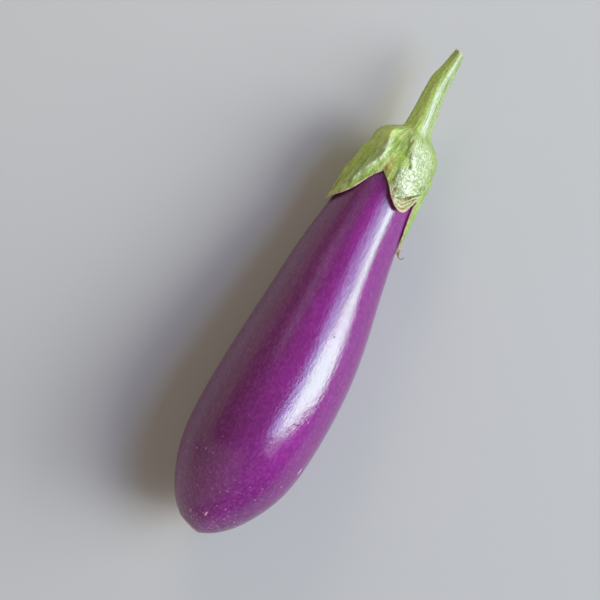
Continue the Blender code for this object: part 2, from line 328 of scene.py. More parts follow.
def makeFruit(material):
    columns, rings = fruit["columns"], fruit["rings"]
    angle = np.arange(columns)[None, :] * 360.0 / columns
    share = np.linspace(0.0, 1.0, rings + 2)[1:-1, None]
    station, radius = fruitLine(fruitRun * (share - fruit["crowding"] * np.sin(2 * math.pi * share)))
    drum = drumPoints(station, angle, fruit["drumRadius"])

    neck = ramp(station, *fruit["neck"])
    swell = 0.0
    for seed, (height, size, more) in enumerate(fruit["swells"], 1):
        swell = swell + height * unevenness(drum, size, seed) * (1 + more * neck)
    swell = swell * np.minimum(1.0, radius / fruit["evenUnder"])
    ribAngle, ribWidth, ribHeight, comes, goes = fruit["neckRib"]
    rib = ramp(station, *comes) * ramp(station, *goes) * hump(angle, ribAngle, ribWidth)
    swell = swell + ribHeight * rib

    body = placed(station, radius * fruitWaves(angle) + swell, angle)
    tip, top = placed(0.0, 0.0, 0.0), placed(topStation, 0.0, 0.0)
    points, scar, scarRimTanAndHighlight = makeScar(np.vstack([tip, body.reshape(-1, 3), top]))
    points[:, 2] = fruit["restBlend"] * np.logaddexp(0.0, points[:, 2] / fruit["restBlend"])
    attributes = {
        "drum": np.vstack([[0.0, 0.0, 0.0], drum.reshape(-1, 3), [0.0, topStation, 0.0]]),
        "scar": scar,
        "scarRimTanAndHighlight": scarRimTanAndHighlight,
    }
    return makePiece("eggplantSkin", points, closedFaces(rings, columns), material, attributes)


skin = {
    "purple": "#7C1B72",
    "magenta": "#8E2283",
    "shadedPurple": "#6A1456",
    "deepPurple": "#5E1358",
    "tipPaintedLight": "#A5468E",
    "fleck": "#A04391",
    "freckle": "#E4A8CC",
    "freckleDeep": "#BE44AC",
    "ring": "#C468B6",
    "cork": "#D3A68C",
    "scarRimTanAndHighlight": "#F3C6B2",
    "corkDark": "#7E4A48",
    "roughness": (0.075, 0.155),  # where the wax is thick, and where it is thin
    "shadedSide": (18.0, -12.0),  # how far to the side the painted shade starts and is full
    "shadedWander": 14.0,  # how unevenly it ends
    # surface, size across and along, slant, detail, roughness, swirl; the real grain and cork are too
    # fine to show, so they are drawn about twice as coarse
    "patterns": {
        "clouds": ("drum", 20.0, 55.56, 0, 3.0, 0.55, 0.0),
        "streaks": ("drum", 3.0, 42.0, 0, 4.0, 0.6, 0.0),
        "strokes": ("drum", 1.25, 3.333, 24, 4.0, 0.65, 0.0),
        "mottles": ("drum", 1.818, 1.818, 0, 5.0, 0.78, 0.0),
        "rings": ("drum", 9.091, 0.8696, 0, 3.0, 0.6, 0.3),
        "grain": ("drum", 1.176, 5.0, 0, 1.5, 0.5, 0.0),
        "cracks": ("piece", 1.111, 1.111, 0, 3.0, 0.5, 0.0),
    },
    # shares along the fruit: from station, to station, share at each; freckled is the share of cells
    "along": {
        "tip": (50, 14, 0, 1),
        "mottled": (60, 20, 0.3, 0.72),
        "freckled": (3, 44, 0.6, 0.001),
        "ringed": (20, 5, 0, 0.9),
    },
    "freckleSpacing": 1.15,
    "freckleStretch": 2.0,
    "freckleSize": (0.1, 0.17),  # smallest, and how much more for the largest, in spacings
    # marks: station, angle, half length, half width, colour
    "marks": [(52.0, 69, 1.9, 0.42, "#F3BFDD"), (118.7, 23.5, 0.5, 0.42, "#3B1B4A"),
              (12.4, 2, 1.3, 0.8, "#EDB3BC"), (9.8, -25, 1.0, 1.2, "#C98BA8")],
    "rubbedRoughness": 0.75,
    "rippleM": 0.00013,
    "grainM": 0.00005,
}


def makeSkinMaterial():
    # Waxy fruit skin: a thin clear wax over deep purple, so highlights are bright and the colour is deep
    material, tree, shader = newMaterial("waxyPurpleSkin")
    drum = addNode(tree, "Attribute", {"attribute_name": "drum"}).outputs["Vector"]
    scar = addNode(tree, "Attribute", {"attribute_name": "scar"}).outputs["Fac"]
    scarRimTanAndHighlight = addNode(tree, "Attribute", {"attribute_name": "scarRimTanAndHighlight"}).outputs["Fac"]
    onPiece = addNode(tree, "TexCoord", {}).outputs["Object"]
    drumParts = addNode(tree, "SeparateXYZ", {}, {"Vector": drum}).outputs
    side, station = drumParts["X"], drumParts["Y"]
    field = layPatterns(tree, skin["patterns"], {"drum": (drum, 1.0), "piece": (onPiece, 1 / millimetre)})
    held = {}
    for key, (start, end, atStart, atEnd) in skin["along"].items():
        spread = {"From Min": start, "From Max": end, "To Min": atStart, "To Max": atEnd}
        held[key] = addNode(tree, "MapRange", spread, {"Value": station}).outputs[0]

    # painted shade: the -X side, away from the lamps, is painted deeper, with an uneven border
    wander = {"operation": "MULTIPLY_ADD", 1: skin["shadedWander"]}
    border = addNode(tree, "Math", wander, {0: field["clouds"], 2: side}).outputs[0]
    start, full = skin["shadedSide"]
    fading = {"From Min": start, "From Max": full, "interpolation_type": "SMOOTHSTEP"}
    shade = addNode(tree, "MapRange", fading, {"Value": border}).outputs[0]

    # freckles and short dashes: a dot in some of the cells, each with its own size and strength
    stretch = {"operation": "MULTIPLY", 1: (1.0, 1 / skin["freckleStretch"], 1.0)}
    dashes = addNode(tree, "VectorMath", stretch, {0: drum})
    spaced = {"Scale": 1.0 / skin["freckleSpacing"], "Randomness": 1.0}
    cells = addNode(tree, "TexVoronoi", spaced, {"Vector": dashes.outputs[0]}).outputs
    chance = addNode(tree, "SeparateColor", {}, {"Color": cells["Color"]}).outputs
    least, more = skin["freckleSize"]
    size = addNode(tree, "Math", {"operation": "MULTIPLY_ADD", 1: more, 2: least}, {0: chance["Red"]})
    dot = addNode(tree, "Math", {"operation": "LESS_THAN"}, {0: cells["Distance"], 1: size.outputs[0]})
    kept = addNode(tree, "Math", {"operation": "LESS_THAN"}, {0: chance["Green"], 1: held["freckled"]})
    both = {0: dot.outputs[0], 1: kept.outputs[0]}
    freckles = addNode(tree, "Math", {"operation": "MULTIPLY"}, both).outputs[0]

    colour = layColours(tree, skin, "purple", [
        # broad cloudy shifts, then painted shade on the -X side and on the low +X flank
        ("magenta", field["clouds"], 0.35, 0.65, 1.0),
        ("shadedPurple", shade, 0, 1, 1.0),
        # painted shade: the low +X flank is painted deeper
        ("deepPurple", border, 25, 38, 0.55),
        # painted light and shade at the blossom end: redder and lighter on the -X side, deeper on the +X
        # side
        ("tipPaintedLight", side, 14, -8, 0.5, held["tip"]),
        ("deepPurple", side, 9, 22, 0.75, held["tip"]),
        # fine streaks along the fruit, short slanting strokes, mottles
        ("deepPurple", field["streaks"], 0.45, 0.75, 0.2),
        ("fleck", field["strokes"], 0.5, 0.72, 0.4),
        ("deepPurple", field["strokes"], 0.48, 0.28, 0.42),
        ("deepPurple", field["mottles"], 0.5, 0.36, 1.0, held["mottled"]),
        ("fleck", field["mottles"], 0.52, 0.66, 1.0, held["mottled"]),
        ("freckleDeep", freckles, 0, 1, 1.0),
        ("freckle", freckles, 0, 1, 1.0, chance["Blue"]),
        ("ring", field["rings"], 0.56, 0.66, 1.0, held["ringed"]),
    ])

    # one scratch, one dark pip and two rubbed places
    rubbed = scar
    for *mark, markColour in skin["marks"]:
        reach = reachFrom(tree, drum, mark, fruit["drumRadius"])
        share = addNode(tree, "MapRange", {"From Min": 1.15, "From Max": 0.8}, {"Value": reach}).outputs[0]
        colour = layColours(tree, skin, colour, [(markColour, share, 0, 1, 1.0)])
        rubbed = addNode(tree, "Math", {"operation": "MAXIMUM"}, {0: share, 1: rubbed}).outputs[0]

    # corky blossom scar; its rim is painted a bright tan, partly its own colour and partly a painted
    # highlight
    cork = layColours(tree, skin, "cork", [("corkDark", field["cracks"], 0, 1, 1.0)])
    corked = addNode(tree, "MixRGB", {}, {"Fac": scar, "Color1": colour, "Color2": cork})
    colour = layColours(tree, skin, corked.outputs["Color"], [("scarRimTanAndHighlight", scarRimTanAndHighlight, 0, 1, 1.0)])
    tree.links.new(colour, shader.inputs["Base Color"])

    # the wax is thin over the grain and gone on the scar and the rubbed places
    thick, thin = skin["roughness"]
    wax = {"From Min": 0.3, "From Max": 0.7, "To Min": thick, "To Max": thin}
    waxed = addNode(tree, "MapRange", wax, {"Value": field["grain"]})
    bare = {"data_type": "FLOAT", 3: skin["rubbedRoughness"]}
    rough = addNode(tree, "Mix", bare, {0: rubbed, 2: waxed.outputs[0]})
    tree.links.new(rough.outputs[0], shader.inputs["Roughness"])
    under = {}
    for height, heightM in ((field["strokes"], skin["rippleM"]), (field["grain"], skin["grainM"])):
        bump = addNode(tree, "Bump", {"Strength": 1.0, "Distance": heightM}, {"Height": height, **under})
        under = {"Normal": bump.outputs["Normal"]}
    tree.links.new(bump.outputs["Normal"], shader.inputs["Normal"])
    shader.inputs["IOR"].default_value = 1.5
    shader.inputs["Specular IOR Level"].default_value = 1.0  # wax and cuticle reflect one over the other
    shader.inputs["Specular Tint"].default_value = linear("#DEFFE6")  # keeps its shine neutral
    return material


fruitPiece = makeFruit(makeSkinMaterial())
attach(fruitPiece, "root")
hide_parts("fruit")
print("fruit skin made:", len(fruitPiece.data.polygons), "faces")


leftRidge = [(227, -42), (220, -34), (208, -23), (199, -34), (188, -47), (177, -75)]
calyx = {
    # (station, radius) down the outside, from the cut end to the shoulder
    "stem": [(273.5, 2.6), (268, 3.4), (260, 4.5), (248, 5.5), (238, 6.3), (232, 6.9), (228.6, 7.6),
             (226.6, 9.9), (224.6, 13.0), (221.8, 16.0), (218.2, 17.8), (214, 18.2)],
    "shoulder": 214.0,
    # stretches below are (station where something starts, station where it is full)
    "stemStretch": (224, 232),
    "foldStretch": (270, 250),
    "cutSlant": (0.29, (262, 271)),
    "crownSlant": (0.075, (232, 224), (206, 218)),
    "ridges": (5, 0.055, -5, (218, 230)),  # ridges round the stem, share of radius, turn, stretch
    "clearance": 0.3,
    "flesh": [(170, 1.0), (185, 1.5), (196, 2.0), (206, 2.4), (214, 2.8)],
    "marginFlesh": 0.55,
    "degreeLength": 0.36,  # millimetres a degree, round the sepals
    # each sepal: angles at the shoulder of its start, middle and end; its edge as (angle, station)
    # down to the tip and up again; how far the edge stands off
    "sepals": [
        {"base": (-105, -60, -15), "lift": 1.1,
         "down": [(-104, 203), (-103, 194), (-97, 185), (-88, 180), (-79, 176.5)],
         "up": [(-79, 176.5), (-70, 179.2), (-56, 182.7), (-44, 186.5), (-34, 191.5), (-22, 198.5),
                (-12, 202.4)]},
        {"base": (-15, 30, 75), "lift": 3.4,
         "down": [(-12, 202.4), (-3, 199.8), (6, 196.5), (12, 193.5), (18, 191), (26, 188.8)],
         "up": [(26, 188.8), (36, 188), (45, 190.2), (52, 193.7), (58, 198.5), (66, 205)]},
        {"base": (75, 105, 135), "lift": 0.3,
         "down": [(66, 205), (66, 196), (69, 189), (73, 181), (77, 174.5), (81, 169.5)],
         "up": [(81, 169.5), (91, 176), (109, 187), (127, 197), (136, 203.5)]},
        {"base": (135, 165, 195), "lift": 0.5,
         "down": [(136, 203.5), (143, 194), (154, 184), (166, 177.5)],
         "up": [(166, 177.5), (178, 184), (188, 193), (196, 202)]},
        {"base": (195, 225, 255), "lift": 0.8,
         "down": [(196, 202), (203, 192), (212, 182), (221, 174.5)],
         "up": [(221, 174.5), (232, 181), (245, 192), (256, 203)]},
    ],
    # folds: their line as (station, angle), height, widths of the two flanks, sharpness of the crest
    "folds": [
        (leftRidge, 2.2, (4.8, 2.8), 1.4),
        (leftRidge, 0.4, (1.3, 1.1), 2.0),  # its crisp crest
        ([(214, -94), (208, -92), (202, -90)], -1.4, (7.0, 6.0), 2.0),
        ([(228, 12), (218, 20), (208, 27), (196, 35)], 1.8, (8.3, 13.5), 5.0),
        ([(229, -26), (225, -16), (221, -5), (217, 1), (211, 3)], -0.8, (3.0, 1.2), 1.6),
        ([(207, 5), (201, 6), (195, 10)], -0.55, (1.5, 0.9), 1.8),
        ([(217, 7), (214, 10), (211.5, 14), (209, 15)], -0.9, (3.6, 0.9), 2.0),
        ([(225, 76), (214, 74), (205, 70), (199, 68)], -1.2, (1.1, 1.3), 1.6),
        ([(226, 104), (210, 103), (190, 92), (172, 84)], 0.5, (3.5, 3.5), 2.0),
        ([(226, 168), (210, 168), (192, 167), (180, 166)], 1.1, (4.0, 4.0), 1.6),
        ([(226, 228), (210, 228), (192, 224), (177, 221)], 1.3, (4.0, 4.0), 1.6),
        # the dips between the hidden sepals
        *[([(226, angle), (214, angle), (204, angle)], -0.8, (2.0, 2.0), 2.0) for angle in (136, 196, 256)],
        # small veins and dents
        ([(222, -62), (210, -56), (198, -62), (185, -73)], 0.5, (1.2, 1.2), 1.4),
        ([(222, -80), (210, -74), (198, -76), (184, -80)], 0.6, (1.4, 1.4), 1.4),
        ([(216, -92), (206, -88), (196, -88), (186, -86)], 0.4, (1.0, 1.0), 1.4),
        ([(214, -48), (205, -46), (196, -54), (188, -64)], 0.4, (1.0, 1.0), 1.4),
        ([(218, -14), (212, -13), (206, -16), (201, -18)], 0.35, (0.9, 0.9), 1.4),
        ([(208, -8), (203, -9), (199, -8)], 0.35, (1.3, 1.3), 1.5),
        ([(222, 50), (212, 54), (204, 56), (198, 54)], -0.4, (1.6, 2.4), 1.6),
        ([(262, -80), (255, -80)], 0.55, (3.0, 3.0), 2.0),
        ([(199, 9), (194, 12), (189, 18)], 0.8, (1.6, 1.6), 2.0),
    ],
    # the front sepal's tip is rucked into pleats below a crease: (angle, station) of the crease
    "crease": [(8, 192.0), (16.5, 192.9), (28.7, 194.2), (40.9, 197.7), (52, 200), (67, 201.2)],
    "pleatedSepal": 1,
    "pleatSpan": (9.0, 62.0),
    "pleats": 3,
    "pleatDepth": 2.1,
    # the dry cut face, a little hollow, with a rolled rim: rings as (share of its width, depth)
    "cutFace": [(0.25, 0.28), (0.5, 0.25), (0.72, 0.2), (0.86, 0.08), (0.94, -0.05), (0.985, -0.06)],
    "cutDepth": 0.3,
    # wrinkles: size across and along, then heights
    "fibres": (1.5, 9.0),
    "fineFibres": (0.8, 5.0),
    "net": (2.2, 1.9),
    "dents": (1.2, 1.0),
    "waves": (2.6, 5.0),
    "fibreHeight": 0.2,
    "netDepth": 0.22,
    "dentHeight": 0.12,
    "waveHeight": 0.24,
    # the front sepal's bulge: angles where it starts and is full on the left and on the right, its
    # stretch, how its left border wavers, and how it eases off towards the stem
    "bulge": ((2, 12), (70, 62), (228, 220)),
    "bulgeWaver": 4,
    "bulgeEase": (0.3, (212, 218)),
    "notch": (211.5, 2.4, 12),  # in its left border: station, half width, how far it cuts in
    # the hollow left of the bulge: its line as (station, angle), half width, stretches at both ends
    "hollow": [(190, 6), (200, 0), (208, -3), (216, -8), (224, -20), (236, -46)],
    "hollowWidth": 11,
    "hollowStretches": ((232, 224), (200, 212)),
    "drumRadius": 20.0,
    "columns": 360,
    "stemRows": 132,
    "lobeRows": 88,
    "roundRows": 7,
    "liningRows": 20,
    "crownRows": 4,
}
stemLine, stemRun = smoothLine(calyx["stem"])
flesh = smoothCurve(calyx["flesh"])
creaseAt = smoothCurve(calyx["crease"])
hollowAt = smoothCurve(calyx["hollow"])


def turnBetween(angle, middle):
    return (angle - middle + 180.0) % 360.0 - 180.0


def edgeCurve(points, share):
    # (angle, station) along one side of a sepal's edge, by share of its length
    points = np.asarray(points, float)
    run = runOf(points * [calyx["degreeLength"], 1.0])
    return [smoothCurve(list(zip(run, column)))(share * run[-1]) for column in points.T]


def sepalEdge(baseAngle):
    # each column's place on the edge: how far it turns, its station, how far it stands off, its sepal
    first = calyx["sepals"][0]["base"][0]
    base = (baseAngle - first) % 360.0 + first
    angle, station, lift = np.zeros((3, base.size))
    which = np.zeros(base.size, int)
    for number, sepal in enumerate(calyx["sepals"]):
        start, middle, end = sepal["base"]
        down = (base >= start) & (base < middle)
        up = (base >= middle) & (base < end)
        shareDown = (base[down] - start) / (middle - start)
        shareUp = (base[up] - middle) / (end - middle)
        angle[down], station[down] = edgeCurve(sepal["down"], shareDown)
        angle[up], station[up] = edgeCurve(sepal["up"], shareUp)
        lift[down] = sepal["lift"] * smoothStep(0.2 + 0.8 * shareDown)
        lift[up] = sepal["lift"] * smoothStep(1.0 - 0.9 * shareUp) ** 1.3
        which[down | up] = number
    return turnBetween(angle, baseAngle), station, lift, which


def foldHeight(station, angle, radius):
    total = np.zeros(np.broadcast(station, angle).shape)
    for line, height, flanks, crest in calyx["folds"]:
        line = sorted(line)
        first, last = line[0][0], line[-1][0]
        middle = smoothCurve(line)(station) if len(line) > 2 else line[0][1]
        off = turnBetween(angle, middle) * np.radians(1.0) * radius
        flank = np.where(off < 0, flanks[0], flanks[1])
        fade = ramp(station, first - 4, first + 2) * ramp(station, last + 4, last - 4)
        total = total + height * fade * np.exp(-np.abs(off / flank) ** crest)
    return total


def pleatShape(station, angle, edge):
    # height of the pleats, the creases between them, to be painted dark brown, and their rolled backs, to be
    # painted pale as a highlight
    first, last = calyx["pleatSpan"]
    top = creaseAt(angle)
    below = (top - station) / np.maximum(top - edge, 1.5)
    begun = ramp(angle, first, first + 5) * ramp(angle, last, last - 8) * ramp(below, -0.12, 0)
    # they gather towards the left of the tip, so their share of the way down changes across it
    across = np.clip((angle - first) / (last - first), 0, 1)
    uneven = 0.05 * np.sin(np.radians(angle * 9)) + 0.04 * np.sin(np.radians(angle * 17 + 50))
    roll = calyx["pleats"] * np.clip(below + uneven * ramp(below, 0, 0.2), 0, 1) ** (1.5 - 0.8 * across)
    arch = np.sin(np.pi * (roll - np.floor(roll)) ** 1.5)
    return begun * calyx["pleatDepth"] * (arch**0.6 - 1.0), begun * (1 - arch) ** 1.1, 0.6 * begun * arch


fruitRunSteps = np.linspace(0.0, fruitRun, 1600)
fruitStations, fruitRadii = fruitLine(fruitRunSteps)
fruitSlopes = np.gradient(np.array([fruitStations, fruitRadii]), fruitRunSteps, axis=1)
fruitSlopes = fruitSlopes / np.hypot(*fruitSlopes)


def offFruit(station, out):
    # (station, radius) of points that stand off the fruit's profile, square to it
    length = np.interp(station, fruitStations, fruitRunSteps)
    along, outward = [np.interp(length, fruitRunSteps, slope) for slope in fruitSlopes]
    return station - out * outward, np.interp(length, fruitRunSteps, fruitRadii) + out * along


def stemPoints(length, angle):
    # rings of the stem and crown, this far down the outside from the cut
    station, radius = stemLine(length)
    ridges, share, turn, stretch = calyx["ridges"]
    wave = share * np.cos(np.radians(ridges * (angle - turn)))
    radius = radius * (1 + wave * ramp(station, *stretch))
    fold = foldHeight(station, angle, radius) * ramp(station, *calyx["foldStretch"])
    radius = radius + fold
    slant = 0.0
    for lean, *stretches in (calyx["cutSlant"], calyx["crownSlant"]):
        slant = slant + lean * math.prod(ramp(station, *stretch) for stretch in stretches)
    points = placed(station, radius, angle)
    points[..., 1] -= slant * radius * np.sin(np.radians(angle))
    return points, station, fold


def lobePoints(share, baseAngle, lining, roundness=1.0):
    # rings of the sepals: share 0 at the shoulder, 1 at the edge; roundness is 1 on the flat of the
    # flesh and falls to 0 round its edge, where the outside meets the lining
    turn, edge, lift, which = sepalEdge(baseAngle)
    station = calyx["shoulder"] - share * (calyx["shoulder"] - edge)
    angle = baseAngle + turn * share**1.3
    thick = flesh(station) * (1 - (1 - calyx["marginFlesh"]) * ramp(share, 0.6, 1))
    level = 0.5 - 0.5 * roundness if lining else 0.5 + 0.5 * roundness
    at, radius = offFruit(station, calyx["clearance"] + lift * share**2.5 + thick * level)
    radius = radius * fruitWaves(angle)
    fold, crease, rollHighlights = np.zeros((3, *station.shape))
    if not lining:
        pleated = which == calyx["pleatedSepal"]
        pleat, crease, rollHighlights = [shape * pleated for shape in pleatShape(station, angle, edge)]
        fold = foldHeight(station, angle, radius) * (1 - 0.7 * ramp(share, 0.75, 1)) + pleat
        fold = np.maximum(fold, -0.45 * thick) * roundness
    return placed(at, radius + fold, angle), station, fold, crease, rollHighlights, angle


def squareTo(rows):
    # outward direction at each point of a closed grid of rings
    along = np.gradient(rows, axis=0)
    across = np.roll(rows, -1, axis=1) - np.roll(rows, 1, axis=1)
    normal = np.cross(across, along)
    length = np.linalg.norm(normal, axis=-1, keepdims=True)
    return normal / np.maximum(length, 1e-9)


def makeCalyx(material):
    angle = -180.0 + np.arange(calyx["columns"]) * 360.0 / calyx["columns"]
    edge = sepalEdge(angle)[1]
    lobeLength = calyx["shoulder"] - edge
    down = np.linspace(0, 1, calyx["stemRows"], endpoint=False)[:, None] ** 0.9  # closer at the crown
    stem, stemStation, stemFold = stemPoints(stemRun * down, angle)

    # the last rows curl round the edge, half the flesh's thickness wide
    flat = np.linspace(0, 1, calyx["lobeRows"])[:, None] ** 0.92
    halfEdge = 0.5 * flesh(edge) * calyx["marginFlesh"]
    quarter = np.linspace(0, math.pi / 2, calyx["roundRows"] + 1)[1:, None]
    level = 1 - halfEdge / lobeLength
    share = np.vstack([flat * level, 1 - halfEdge * (1 - np.sin(quarter)) / lobeLength])
    roundness = np.vstack([np.ones(flat.shape), np.cos(quarter)])
    outer, station, fold, crease, rollHighlights, lobeAngle = lobePoints(share, angle, False, roundness)
    crownStep = stemPoints(np.array([[stemRun]]), angle)[0] - lobePoints(np.zeros((1, 1)), angle, False)[0]
    outer = outer + crownStep * ramp(share, 0.5, 0)[..., None]

    back = np.vstack([quarter[::-1][1:], np.zeros((1, 1))])
    upward = np.linspace(1, 0, calyx["liningRows"])[1:, None]
    liningShare = np.vstack([1 - halfEdge * (1 - np.sin(back)) / lobeLength, upward * level])
    liningRound = np.vstack([np.cos(back), np.ones(upward.shape)])
    lining = lobePoints(liningShare, angle, True, liningRound)[0]
    closing = np.sin(np.linspace(0, math.pi / 2, calyx["crownRows"] + 2))[1:-1, None]
    at, radius = offFruit(calyx["shoulder"] + (topStation - calyx["shoulder"]) * closing, calyx["clearance"])
    crown = placed(at, radius * fruitWaves(angle), angle)
    cutRim = stem[0]
    cutMiddle = cutRim.mean(axis=0)
    cutRows = []
    for spread, sunk in calyx["cutFace"]:
        cutRows.append(cutMiddle + (cutRim - cutMiddle) * spread - [0, sunk, 0])
    cutRows = np.array(cutRows)

    # every ring in one grid, with what the wrinkles and the colours need at each point
    parts = (cutRows, stem, outer, lining, crown)
    rows = np.concatenate(parts)

    def onGrid(*values):
        return np.concatenate([np.zeros(part.shape[:2]) + value for part, value in zip(parts, values)])

    stations = onGrid(274, stemStation, station, 190, 218)
    angles = onGrid(angle, angle, lobeAngle, angle, angle)
    relief = onGrid(0, stemFold, fold, 0, 0)
    edgeAway = onGrid(60, 60, (1 - share) * lobeLength, 0, 60)
    cutFace = onGrid(1, 0, 0, 0, 0)
    cutFace[len(cutRows)] = 1.0
    outside = onGrid(0, 1, 1, 0, 0) * ramp(edgeAway, 0, 1)
    onStem = onGrid(0, 1, 0, 0, 0) * ramp(stations, *calyx["stemStretch"])
    drum = drumPoints(stations, angles, calyx["drumRadius"])
    flow = drumPoints(stations, onGrid(*[angle] * 5), calyx["drumRadius"])  # runs to each sepal's tip

    # wrinkles: long fibres, a net of creases that is deepest on the front sepal's bulge, small dents
    fibres = unevenness(flow, calyx["fibres"], 5) + 0.5 * unevenness(flow, calyx["fineFibres"], 6)
    net = hump(unevenness(drum, calyx["net"], 7), 0, 0.16)
    dents = unevenness(drum, calyx["dents"], 8, 2)
    waves = unevenness(drum, calyx["waves"], 9)
    notchStation, notchWidth, notchIn = calyx["notch"]
    border = notchIn * hump(stations, notchStation, notchWidth) + calyx["bulgeWaver"] * waves
    left, right, stretch = calyx["bulge"]
    bulge = outside * ramp(angles - border, *left) * ramp(angles, *right) * ramp(stations, *stretch)
    ease, stretch = calyx["bulgeEase"]
    bulge = bulge * (1 - ease * ramp(stations, *stretch))
    comes, goes = calyx["hollowStretches"]
    hollow = outside * hump(angles, hollowAt(stations), calyx["hollowWidth"])
    hollow = hollow * ramp(stations, *comes) * (0.4 + 0.6 * ramp(stations, *goes))
    rugged = 0.35 + 0.65 * np.maximum(bulge, 0.45 * ramp(relief, 0.7, 1.7))
    wrinkle = calyx["fibreHeight"] * fibres * (1 - 0.45 * onStem) * (1 - 0.7 * bulge)
    wrinkle = wrinkle - calyx["netDepth"] * net * rugged * (1 - 0.7 * onStem)
    wrinkle = wrinkle + calyx["dentHeight"] * dents * (rugged + onStem / 6)
    wrinkle = outside * (wrinkle + calyx["waveHeight"] * waves * (1 - 0.6 * onStem))
    rows = rows + wrinkle[..., None] * squareTo(rows)

    top = placed(topStation + calyx["clearance"], 0.0, 0.0)
    points = np.vstack([cutMiddle - [0, calyx["cutDepth"], 0], rows.reshape(-1, 3), top])
    end = [0.0, 274.0, 0.0]
    attributes = {
        "drum": np.vstack([end, drum.reshape(-1, 3), end]),
        "flow": np.vstack([end, flow.reshape(-1, 3), end]),
    }
    numbers = {
        "edgeAway": edgeAway,
        "relief": relief,
        "wrinkle": wrinkle - outside * 0.16 * waves,
        "crease": onGrid(0, 0, crease, 0, 0),
        "rollHighlights": onGrid(0, 0, rollHighlights, 0, 0),
        "bulge": bulge,
        "hollow": hollow,
        "cutFace": cutFace,
        "onStem": onStem,
    }
    for key, values in numbers.items():
        attributes[key] = np.concatenate([values[0, :1], values.ravel(), values[-1, :1]])
    faces = closedFaces(len(rows), calyx["columns"], flip=True)
    piece = makePiece("calyxAndStem", points, faces, material, attributes)
    return piece, rows[outside > 0.5], squareTo(rows)[outside > 0.5]


green = {
    "leaf": "#A9C73A",
    "shade": "#809E26",
    # painted light for the -X flank, which faces away from the lamps
    "flank": "#BACE30",
    "hollow": "#93B02C",
    "furrow": "#5C7622",
    "pale": "#E3EAC6",
    "cream": "#D8C09A",
    "brown": "#8E5C42",
    "rollHighlights": "#D9D69A",
    "stem": "#A2BE48",
    "stemLeftPaintedLight": "#CFE45E",
    "rightFlankPaintedShade": "#89A442",
    "thread": "#869C38",
    "glint": "#F0F5DE",
    "cut": "#D8CDA2",
    "speck": "#8D7A3E",
    "roughness": (0.22, 0.46),
    "stemGloss": 0.12,  # how much smoother the stem is
    # surface, size across and along, slant, detail, roughness, swirl; leaf pores are too fine to show,
    # so the flecks are drawn twice as coarse
    "patterns": {
        "mottle": ("flow", 2.0, 11.11, 0, 6.0, 0.7, 0.0),
        "net": ("drum", 2.0, 2.778, 35, 2.0, 0.5, 0.8),
        "veins": ("flow", 1.333, 10.0, 0, 4.0, 0.65, 0.4),
        "flecks": ("piece", 1.111, 1.111, 0, 4.0, 0.75, 0.0),
        "blemish": ("piece", 3.03, 3.03, 0, 3.0, 0.7, 0.0),
        "stains": ("piece", 3.846, 3.846, 0, 4.0, 0.7, 0.6),
    },
    # brown stains and two pale places on the left of the crown, the first painted light where that shoulder
    # faces away from the lamps: station, angle, half length, half width, colour
    "stains": [(219.0, -42, 6.5, 6.0, "#E0EE6C"), (224.0, -19, 5.0, 4.5, "#DCEB9C"),
               (202.7, 47, 3.0, 1.8, "#5E7A28"), (204.4, 56, 1.8, 1.6, "#5E4E2A"),
               (214.4, 60, 4.0, 1.6, "#96683E"), (204.5, -9, 8.0, 4.0, "#C0B25E"),
               (221.5, 2, 3.0, 1.2, "#7F6434"), (210.7, 17.5, 1.1, 0.9, "#5E4A22"),
               (196.5, 14.5, 1.6, 0.9, "#7A4A38"), (190.0, 13, 3.0, 1.0, "#8B6A3C")],
    "bulgePale": 0.82,
    "netLine": 0.085,  # half width of the net's lines, in its own field
    "glintLineSide": 7.0,  # how far to the right of the stem's middle its painted highlight line runs
    "netDepthM": 0.0002,
    "veinHeightM": 0.0006,
    "fleckHeightM": 0.0004,
}


